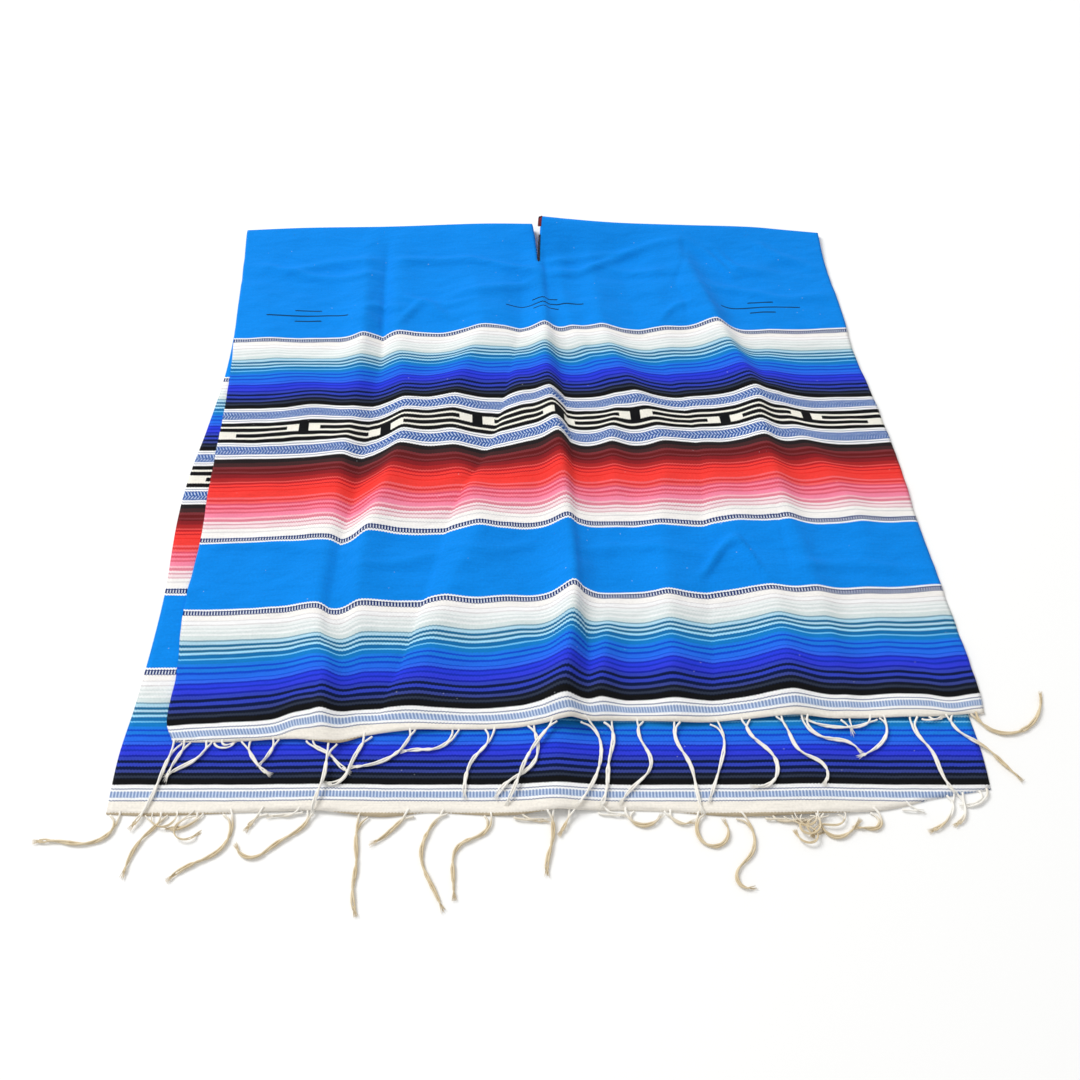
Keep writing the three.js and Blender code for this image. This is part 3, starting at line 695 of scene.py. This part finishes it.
    # Weft rows bulging over the warps, and the puckers of soft cloth
    weftWave = math1("SINE", math1("MULTIPLY", v, 2 * math.pi / weave["weftPitch"]))
    warpWave = math1("SINE", math1("MULTIPLY", u, 2 * math.pi / weave["rungPitch"]))
    fuzz = noiseOut(flat, clothRelief["fuzzScale"], 2.0)
    crossing = math1("MULTIPLY", math1("MULTIPLY", weftWave, warpWave), clothRelief["weaveShare"])
    pucker = noiseOut(mapped(clothRelief["puckerScale"]), 1.0, 4.0)
    puckered = addNode(tree, "ShaderNodeBump", {"Height": pucker, "Strength": 1.0,
                       "Distance": clothRelief["pucker"]}).outputs[0]
    bump = addNode(tree, "ShaderNodeBump", {"Height": math1("ADD", crossing, fuzz), "Normal": puckered,
                   "Strength": clothRelief["weaveStrength"], "Distance": clothRelief["weave"]}).outputs[0]
    surface = addNode(tree, "ShaderNodeBsdfPrincipled", {
        "Base Color": coloured, "Normal": bump, "Roughness": 0.92, "IOR": 1.5, "Specular IOR Level": 0.08,
        "Sheen Weight": 0.02, "Sheen Roughness": 0.5})
    addNode(tree, "ShaderNodeOutputMaterial", {0: surface.outputs[0]})
    return material


yarnPatchScale = 90.0  # of the tone patches along a yarn, in turns a metre


def yarnMaterial(name, hexLow, hexHigh, threadMm, floorHex=None):
    material = bpy.data.materials.new(name)
    material.use_nodes = True
    tree = material.node_tree
    tree.nodes.clear()
    place = addNode(tree, "ShaderNodeTexCoord").outputs["Object"]
    patchAt = {"Vector": place, "Scale": yarnPatchScale, "Detail": 3.0}
    patch = addNode(tree, "ShaderNodeTexNoise", patchAt).outputs[0]

    def toned(mask, under, over):
        return addNode(tree, "ShaderNodeMix", {0: mask, 6: under, 7: over}, data_type="RGBA").outputs[2]

    colour = toned(patch, linearColour(hexLow), linearColour(hexHigh))
    if floorHex:  # ends that trail on the floor are painted a darker tan: painted shade where they lie
        split = addNode(tree, "ShaderNodeSeparateXYZ", {0: place})
        low, side, fade = trailing["hem"], trailing["side"], trailing["fade"]
        below = addNode(tree, "ShaderNodeMapRange", {0: split.outputs[1], 1: low, 2: low - fade})
        beside = addNode(tree, "ShaderNodeMapRange", {0: split.outputs[0], 1: side, 2: side + fade})
        trails = addNode(tree, "ShaderNodeMath", {0: below.outputs[0], 1: beside.outputs[0]},
                         operation="MAXIMUM").outputs[0]
        # painted shade for the ends that lie on the floor: a darker tan
        paintedGroundShade = toned(patch, linearColour(floorHex[0]), linearColour(floorHex[1]))
        colour = toned(trails, colour, paintedGroundShade)
    fibreAt = {"Vector": place, "Scale": 1000 / threadMm, "Detail": 2.0}
    fibre = addNode(tree, "ShaderNodeTexNoise", fibreAt).outputs[0]
    bump = addNode(tree, "ShaderNodeBump", {"Height": fibre, "Strength": 0.4, "Distance": 0.0004}).outputs[0]
    surface = addNode(tree, "ShaderNodeBsdfPrincipled", {
        "Base Color": colour, "Normal": bump, "Roughness": 0.95, "Specular IOR Level": 0.2,
        "Sheen Weight": 0.1, "Sheen Roughness": 0.5})
    addNode(tree, "ShaderNodeOutputMaterial", {0: surface.outputs[0]})
    return material


trailing = {  # in metres, where strands leave the cloth
    "hem": toRow(Vector((0, clothPlan["backHemLine"], 0))).y,
    "side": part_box("back_panel")[1].x - 0.01,
    "fade": 0.014,
}
blanketCloth = clothMaterial()
# Undyed cotton warps, their ends on the floor painted a darker tan as shade, then the sewing thread round the
# slit
creamCotton = yarnMaterial("twisted cream cotton", "#ebe6da", "#fdfbf6", 0.8, ("#c3ac82", "#e9dcc0"))
blackThread = yarnMaterial("black overcasting thread", "#100e12", "#2a2428", 0.5)
redThread = yarnMaterial("dark red overcasting thread", "#4f0d12", "#9c2128", 0.5)
print("materials made")


# Cloth layers

frontCloth = {"columns": 220, "rows": 190, "foldRows": 12}
backCloth = {"columns": 150, "rows": 150}


def clothGrid(columns, rows, pointAt, clothAt, slitFrom):
    bm = bmesh.new()
    bmesh.ops.create_grid(bm, x_segments=columns, y_segments=rows, size=0.5)
    cells = {}
    for vert in bm.verts:
        cells[vert] = (round((vert.co.x + 0.5) * columns), round((vert.co.y + 0.5) * rows))
    uvLayer = bm.loops.layers.uv.new("clothMetres")
    for face in bm.faces:
        for loop in face.loops:
            column, row = cells[loop.vert]
            loop[uvLayer].uv = clothAt(column / columns, row)
    lip = int(neckSlit["across"] * columns)
    for vert, (column, row) in cells.items():
        vert.co = toRow(pointAt(column, row, lip))
    cut = [f for f in bm.faces if {cells[v][0] for v in f.verts} == {lip, lip + 1}
           and min(cells[v][1] for v in f.verts) >= slitFrom]
    bmesh.ops.delete(bm, geom=cut, context="FACES")
    return bm


def partAtSlit(point, column, lip, length, lipPoints):
    toEnd = clothPlan["foldTop"] - length - point.y
    openness = 1 - smooth(*neckSlit["closing"], toEnd)
    if openness <= 0:
        return
    opening = min(max(-toEnd / length, 0), 1) ** neckSlit["flare"]
    side, own = (-1, lipPoints[0]) if column <= lip else (1, lipPoints[1])
    half = mix(neckSlit["endHalf"], neckSlit["openLeft" if side < 0 else "openRight"], opening)
    near = lip if column <= lip else lip + 1
    give = max(0, 1 - abs(column - near) / neckSlit["spread"])
    point.x += openness * give * (neckSlit["x"] + side * half - own.x)


def frontAt(column, row, lip):
    columns, rows, rounds = frontCloth["columns"], frontCloth["rows"], frontCloth["foldRows"]

    def place(c):
        if row <= rows:
            return frontPoint(c / columns, row / rows)
        return foldPoint(c / columns, (row - rows) / rounds if row <= rows + rounds else 2)

    point = place(column)
    if point.y > clothPlan["foldTop"] - neckSlit["frontLength"] - neckSlit["ahead"] or row > rows:
        length = neckSlit["frontLength"] if row <= rows else neckSlit["backLength"]
        partAtSlit(point, column, lip, length, (place(lip), place(lip + 1)))
    return point


def backAt(column, row, lip):
    columns, rows = backCloth["columns"], backCloth["rows"]
    point = backPoint(column / columns, row / rows)
    if point.y > clothPlan["foldTop"] - neckSlit["backLength"] - neckSlit["ahead"]:
        lips = [backPoint(c / columns, row / rows) for c in (lip, lip + 1)]
        partAtSlit(point, column, lip, neckSlit["backLength"], lips)
    return point


# Place on the flat cloth, in metres: across the warps, and up from the hem. The weft isn't quite
# straight as the cloth lies, so these tables say where it runs.
warpSpread = {
    "across": (0, 0.126, 0.249, 0.387, 0.51, 0.626, 0.761, 0.886, 1),
    "cloth": (0, 0.125, 0.25, 0.375, 0.5, 0.625, 0.75, 0.875, 1),
}
weftDrift = {
    "fromHem": (0, 40, 214, 339, 504, 614, 779, 1050),
    "left": (0, 0, -1, -5, -1, 0, 4, 6),
    "middle": (0, 0, -3, 0, 0, 0, 0, 0),
    "right": (0, 0, 3, 0, -3, -8, -1, 0),
}
frontHemTuck = {
    "across": (0, 0.04, 0.08, 0.125, 0.16, 0.2, 0.24, 0.3, 0.5, 0.8, 0.93, 0.96, 1),
    "under": (17, 14, 13, 13, 3, -2, 2, 8, 11, 7, 7, 13, 9),
}
tuckFade = 170.0  # mm from the hem


def frontClothAt(across, row):
    rows = frontCloth["rows"]
    reach = rollY(across) - frontHem(across)
    fromHem = reach * min(row, rows) / rows
    sides = [through(weftDrift["fromHem"], weftDrift[side], fromHem) for side in ("left", "middle", "right")]
    drift = mix3(*sides, across)
    tuck = through(frontHemTuck["across"], frontHemTuck["under"], across) * (1 - smooth(0, tuckFade, fromHem))
    halfTurn = math.pi / 2 * (rollHeight(across) - clothPlan["wall"])
    around = halfTurn * min(max(row - rows, 0) / frontCloth["foldRows"], 1.5)
    up = fromHem * mix(*clothPlan["frontWeft"], across) - drift + tuck + around
    return clothPlan["width"] / 1000 * through(warpSpread["across"], warpSpread["cloth"], across), up / 1000


def backClothAt(across, row):
    up = mix(backY(across), clothPlan["seamLine"], row / backCloth["rows"]) - clothPlan["backHemLine"]
    return across * clothPlan["width"] / 1000, up * clothPlan["backWeft"] / 1000


def giveWall(piece):
    shell = piece.modifiers.new("wall", "SOLIDIFY")
    shell.thickness = clothPlan["wall"] / 1000
    shell.offset = 0
    return piece


frontSlitRow = round(frontCloth["rows"] * (1 - neckSlit["frontLength"] / clothPlan["foldTop"]))
frontMesh = clothGrid(frontCloth["columns"], frontCloth["rows"] + frontCloth["foldRows"] + 1, frontAt,
                      frontClothAt, frontSlitRow)
frontPiece = giveWall(finishPiece(frontMesh, "frontCloth", blanketCloth, "front_panel"))

span = clothPlan["seamLine"] - clothPlan["backHemLine"]
backSlitTop = neckSlit["backLength"] - (clothPlan["foldTop"] - clothPlan["seamLine"])
backSlitRow = round(backCloth["rows"] * (1 - backSlitTop / span))
backMesh = clothGrid(backCloth["columns"], backCloth["rows"], backAt, backClothAt, backSlitRow)
backPiece = giveWall(finishPiece(backMesh, "backCloth", blanketCloth, "back_panel"))
print("cloth layers laid")


# Fringe

strandYarn = {
    "radius": 1.42,  # of each of the two plies
    "clear": 0.3,
    "twist": 78.0,  # mm of strand for one turn
    "step": 2.6,
    "sides": 7,
    "settle": 14.0,  # mm over which a strand sinks from the hem to what it lies on
    "fork": 5.0,  # the plies leave the hem this far to each side of the root
    "forkFade": 9.0,
    "uneven": 0.22,  # how much the thickness varies, from strand to strand and along each ply
    "twistUneven": 0.6,
    "slackRun": 9.0,
    "swellRun": 7.0,
    "flatness": 0.55,  # of the pair of plies
    "frayed": 15.0,  # length of the loose tip
    "filaments": 9,
    "filament": 0.55,
    "filamentSteps": 5,
    "filamentLow": 0.6,  # no lower than this above the floor
    "seedStep": 1.7,
}

# From left to right: where a strand leaves the hem, its length, its heading in degrees from straight
# down at its root, two places between and its tip, and how high it arches where it does
strandColumns = ("root", "length", "turns", "lift")
frontStrands = namedRows(
    strandColumns,
    (-541, 122, (-25, -11, -14, -32)),
    (-529, 54, (-16, -24, -20, -8)),
    (-500, 66, (-6, -38, -60, -52)),
    (-488, 26, (15, 66, 105, 140)),
    (-450, 57, (15, 32, 40, 58)),
    (-410, 36, (-8, -20, -28, -38)),
    (-365, 68, (30, 66, 42, 56)),
    (-332, 95, (-26, 0, -16, -8), 5),
    (-287, 90, (-28, -24, -21, -95)),
    (-228, 97, (-12, -40, -68, -84)),
    (-170, 80, (-8, -52, -88, -80)),
    (-124, 101, (14, -42, -16, 4)),
    (-69, 122, (32, -5, -60, -28)),
    (-36, 129, (-42, -34, -20, -27), 5),
    (1, 134, (68, 5, -22, -38)),
    (35, 122, (34, -14, -4, -24)),
    (80, 132, (-24, 28, -44, -36)),
    (130, 130, (-28, 28, 6, 12)),
    (178, 118, (50, -8, -20, -22)),
    (223, 127, (-8, 46, -6, -95)),
    (267, 116, (34, 16, 62, -34)),
    (303, 92, (-12, 52, 84, 34)),
    (357, 17, (30, 26, 22, 18)),
    (398, 98, (-40, -82, -96, -120)),
    (408, 76, (36, -20, -52, -66)),
    (452, 113, (-22, 32, 8, 30)),
    (466, 26, (50, 72, 98, 120)),
    (501, 118, (-4, 54, 40, 38)),
    (535, 142, (14, 82, 132, 168)),
)
backStrands = namedRows(
    strandColumns,
    (-604, 119, (30, -58, -98, -84)),
    (-540, 86, (-18, -42, -18, -6)),
    (-494, 44, (-8, -48, -74, -94)),
    (-460, 119, (42, -20, -66, -44)),
    (-410, 28, (-55, -48, -38, -30)),
    (-364, 38, (-50, -76, -86, -84)),
    (-352, 120, (0, -58, -52, -150)),
    (-283, 124, (-30, 8, -4, 18)),
    (-222, 56, (-55, -44, -44, -60)),
    (-178, 135, (-50, -18, 26, 26)),
    (-124, 126, (30, -70, -2, 6)),
    (-86, 36, (50, 72, 84, 90)),
    (-43, 78, (16, 0, -16, 0)),
    (-15, 31, (-20, -24, -28, -30)),
    (22, 29, (48, 72, 82, 88)),
    (60, 56, (-30, 50, 100, 140)),
    (108, 36, (15, 42, 72, 110)),
    (152, 98, (-40, 20, 115, 205)),
    (199, 120, (60, -4, -44, 95)),
    (237, 50, (50, 80, 92, 94)),
    (305, 78, (-26, 38, 112, 142)),
    (372, 52, (60, 0, -90, -92)),
    (415, 18, (55, 65, 72, 80)),
    (478, 61, (14, -22, -48, -68)),
    (491, 45, (16, 2, -26, -58)),
    (522, 40, (20, -40, -70, -88)),
)
# Loose warp ends, tangled by the back hem
tangle = namedRows(
    strandColumns,
    (262, 66, (30, 70, 150, 270), 3),
    (276, 76, (-10, 60, -70, -170), 4),
    (292, 70, (75, -20, -110, -250), 5),
    (312, 58, (-50, -70, 20, 130), 3),
    (330, 60, (60, -60, -95, -20), 3),
    (-560, 60, (20, 60, 130, 200), 3),
    (-500, 70, (-60, -40, 60, 140), 3),
)
tangleShare = 0.6  # their thickness beside a strand's


def tube(bm, points, radii, sides):  # a round thread along points, closed at both ends
    made = bmesh.ops.create_grid(bm, x_segments=sides, y_segments=len(points) - 1, size=0.5)["verts"]
    rings = {}
    for vert in made:
        rings[vert] = (round((vert.co.x + 0.5) * sides), round((vert.co.y + 0.5) * (len(points) - 1)))
    up = Vector((0, 0, 1))
    frames = []
    for i, point in enumerate(points):
        along = (points[min(i + 1, len(points) - 1)] - points[max(i - 1, 0)]).normalized()
        aside = along.cross(up if abs(along.z) < 0.95 else Vector((1, 0, 0))).normalized()
        frames.append((point, aside, aside.cross(along)))
    for vert, (side, ring) in rings.items():
        point, aside, over = frames[ring]
        angle = -2 * math.pi * side / sides
        vert.co = toRow(point + radii[ring] * (math.cos(angle) * aside + math.sin(angle) * over))
    bmesh.ops.remove_doubles(bm, verts=made, dist=1e-6)
    ends = [e for e in bm.edges if e.is_boundary]
    bmesh.ops.holes_fill(bm, edges=ends, sides=sides)


def strandWay(row, start, bedAt):
    count = max(6, round(row["length"] / strandYarn["step"]))
    step = row["length"] / count
    half = 2 * strandYarn["radius"] + strandYarn["clear"]
    x, y = start.x, start.y
    root = max(start.z, bedAt(x, y) + half)
    points = [Vector((x, y, root))]
    for i in range(1, count + 1):
        angle = math.radians(through((0, 1 / 3, 2 / 3, 1), row["turns"], (i - 0.5) / count))
        x += step * math.sin(angle)
        y -= step * math.cos(angle)
        bed = half + max(bedAt(x - 3, y), bedAt(x, y), bedAt(x + 3, y))
        over = row.get("lift", 0) * math.sqrt(max(math.sin(math.pi * i / count), 0))
        settling = math.exp(-i * step / strandYarn["settle"])
        points.append(Vector((x, y, mix(bed + over, max(root, bed), settling))))
    return points


def twistedStrand(bm, points, length, seed, share):
    last = len(points) - 1
    gap = length / last
    uneven, frayed = strandYarn["uneven"], strandYarn["frayed"]
    radius = share * strandYarn["radius"] * (1 + uneven * noise.noise(Vector((seed, 4, 0))))
    turn = strandYarn["twist"] * (1 + strandYarn["twistUneven"] * noise.noise(Vector((seed, 8, 1))))
    for ply in (0, 1):
        way, radii = [], []
        for i, point in enumerate(points):
            along = (points[min(i + 1, last)] - points[max(i - 1, 0)]).normalized()
            aside = along.cross(Vector((0, 0, 1))).normalized()
            over = aside.cross(along)
            travelled = i * gap
            slack = noise.noise(Vector((travelled / strandYarn["slackRun"], seed, 3)))
            angle = 2 * math.pi * travelled / turn + math.pi * ply + seed + 0.8 * slack
            loose = smooth(last * gap - frayed, last * gap, travelled)
            swell = 1 + uneven * noise.noise(Vector((travelled / strandYarn["swellRun"], seed, ply)))
            parting = math.exp(-((travelled / strandYarn["forkFade"]) ** 1.5))
            fork = (1 - 2 * ply) * strandYarn["fork"] * parting
            off = radius * (0.95 + 0.35 * slack + 0.5 * loose)
            about = math.cos(angle) * aside + strandYarn["flatness"] * math.sin(angle) * over
            way.append(point + off * about + fork * aside)
            radii.append(radius * swell * (1 - 0.5 * loose))
        tube(bm, way, radii, strandYarn["sides"])
    heading = (points[last] - points[last - 1]).normalized()
    aside = heading.cross(Vector((0, 0, 1))).normalized()
    start, steps = points[max(last - 2, 0)], strandYarn["filamentSteps"]
    for k in range(strandYarn["filaments"]):
        spread = (k / (strandYarn["filaments"] - 1) - 0.5) * 1.3 + 0.35 * noise.noise(Vector((seed, k, 2)))
        reachOut = 0.75 * frayed * (0.8 + 0.5 * noise.noise(Vector((seed, k, 5))))
        bend = 0.5 * noise.noise(Vector((seed, k, 9)))
        way = []
        for j in range(steps + 1):
            f = j / steps
            sway = (spread * f + bend * f * f) * reachOut * 0.55
            drop = Vector((0, 0, -min(start.z - 1.0, 1.2) * f * (k % 2)))
            tip = start + heading * (f * (reachOut + 5)) + aside * sway + drop
            tip.z = max(tip.z, strandYarn["filamentLow"])
            way.append(tip)
        tube(bm, way, [strandYarn["filament"] * (1 - 0.7 * j / steps) for j in range(steps + 1)], 4)


def fringePiece(name, hemPoint, rows, bedAt, replaced):
    bm = bmesh.new()
    for index, row in enumerate(rows):
        low, high = 0.0, 1.0
        for k in range(24):
            middle = (low + high) / 2
            if hemPoint(middle).x < row["root"]:
                low = middle
            else:
                high = middle
        start = hemPoint(low)
        start.y += 1.0
        share = tangleShare if row in tangle else 1.0
        twistedStrand(bm, strandWay(row, start, bedAt), row["length"], index * strandYarn["seedStep"], share)
    bmesh.ops.recalc_face_normals(bm, faces=bm.faces)
    return finishPiece(bm, name, creamCotton, replaced)


frontFringe = fringePiece("frontFringe", lambda at: frontPoint(at, 0), frontStrands, lieOn, "front_fringe")
backFringe = fringePiece("backFringe", lambda at: backPoint(at, 0), backStrands + tangle, lambda x, y: 0.0,
                         "back_fringe")
print("fringe made")


# Overcasting along the neck slit

overcast = {
    "radius": 0.55,
    "sides": 5,
    "slant": 0.9,
    "bite": 1.2,  # how far in from the lip a stitch goes
    # From and to are shares of the way from the slit's end to the fold; out is past the lip
    "black": {"pitch": 1.5, "out": 2.2, "from": 0.1, "to": 0.66},
    "red": {"pitch": 1.0, "out": 4.6, "from": 0.82, "to": 1.3},
}


def overcastPiece(name, material, kind):  # stitches over the slit's right lip
    bm = bmesh.new()
    rows, rounds = frontCloth["rows"], frontCloth["foldRows"]
    lip = int(neckSlit["across"] * frontCloth["columns"])
    edge = [frontAt(lip + 1, row, lip) for row in range(frontSlitRow - 1, rows + rounds + 1)]
    length = sum((b - a).length for a, b in zip(edge, edge[1:rows - frontSlitRow + 2]))
    thick = clothPlan["wall"] / 2 + 0.6 * overcast["radius"]
    out = Vector((-1, 0, 0))
    bite = out * overcast["bite"]
    travelled, due = 0.0, kind["from"] * length
    for a, b in zip(edge, edge[1:]):
        along = b - a
        while due <= travelled + along.length and due <= kind["to"] * length:
            point = a + along * ((due - travelled) / max(along.length, 1e-6))
            over = out.cross(along).normalized()
            if over.z < 0 and along.y > 0:
                over = -over
            slant = along.normalized() * overcast["slant"]
            way = [
                point - bite + over * (thick - 0.3) - slant,
                point - bite + over * thick - slant * 0.4,
                point + out * kind["out"] + over * 0.3,
                point - bite - over * thick + slant * 0.4,
                point - bite - over * (thick - 0.3) + slant,
            ]
            tube(bm, way, [overcast["radius"]] * 5, overcast["sides"])
            due += kind["pitch"]
        travelled += along.length
    bmesh.ops.recalc_face_normals(bm, faces=bm.faces)
    return finishPiece(bm, name, material, None)


slitBlack = overcastPiece("slitBlackThread", blackThread, overcast["black"])
slitRed = overcastPiece("slitRedThread", redThread, overcast["red"])
print("neck slit sewn")

# Floor, light and camera

room = {
    "floorHalf": 6.0,
    "floorHex": "#fbfbfa",
    "worldStrength": 0.62,
    "keyPlace": (-5.0, 3.6, 6.4),
    "keySize": 4.0,
    "keyPower": 560.0,
}
floorMesh = bmesh.new()
bmesh.ops.create_grid(floorMesh, x_segments=1, y_segments=1, size=room["floorHalf"])
floorData = bpy.data.meshes.new("floor")
floorMesh.to_mesh(floorData)
floorMesh.free()
floor = bpy.data.objects.new("floor", floorData)
bpy.context.scene.collection.objects.link(floor)
floorPaint = bpy.data.materials.new("matt white floor")
floorPaint.use_nodes = True
floorSurface = floorPaint.node_tree.nodes["Principled BSDF"]
floorSurface.inputs["Base Color"].default_value = linearColour(room["floorHex"])
floorSurface.inputs["Roughness"].default_value = 0.9
floorData.materials.append(floorPaint)

world = bpy.data.worlds.new("soft studio")
world.use_nodes = True
world.node_tree.nodes["Background"].inputs[0].default_value = (1, 1, 1, 1)
world.node_tree.nodes["Background"].inputs[1].default_value = room["worldStrength"]
bpy.context.scene.world = world

keyData = bpy.data.lights.new("key", "AREA")
keyData.size = room["keySize"]
keyData.energy = room["keyPower"]
key = bpy.data.objects.new("key", keyData)
bpy.context.scene.collection.objects.link(key)
key.location = Vector(room["keyPlace"])
key.rotation_euler = (-key.location).to_track_quat("-Z", "Y").to_euler()

bpy.context.scene.view_settings.view_transform = "Standard"

camera = {
    "elevation": 53.524,  # degrees above the floor
    "distance": 1.682,  # metres to the target
    "target": (-56.3, 318.7, 0.0),  # mm on the plan
    "lens": 36.667,
    "sensor": 36.0,
}
cameraData = bpy.data.cameras.new("camera")
cameraData.lens = camera["lens"]
cameraData.sensor_width = camera["sensor"]
cameraObject = bpy.data.objects.new("camera", cameraData)
bpy.context.scene.collection.objects.link(cameraObject)
tilt = math.radians(camera["elevation"])
back = Vector((0, -math.cos(tilt), math.sin(tilt)))
cameraObject.location = toRow(Vector(camera["target"])) + back * camera["distance"]
cameraObject.rotation_euler = (math.radians(90) - tilt, 0, 0)
bpy.context.scene.camera = cameraObject
print("camera set")
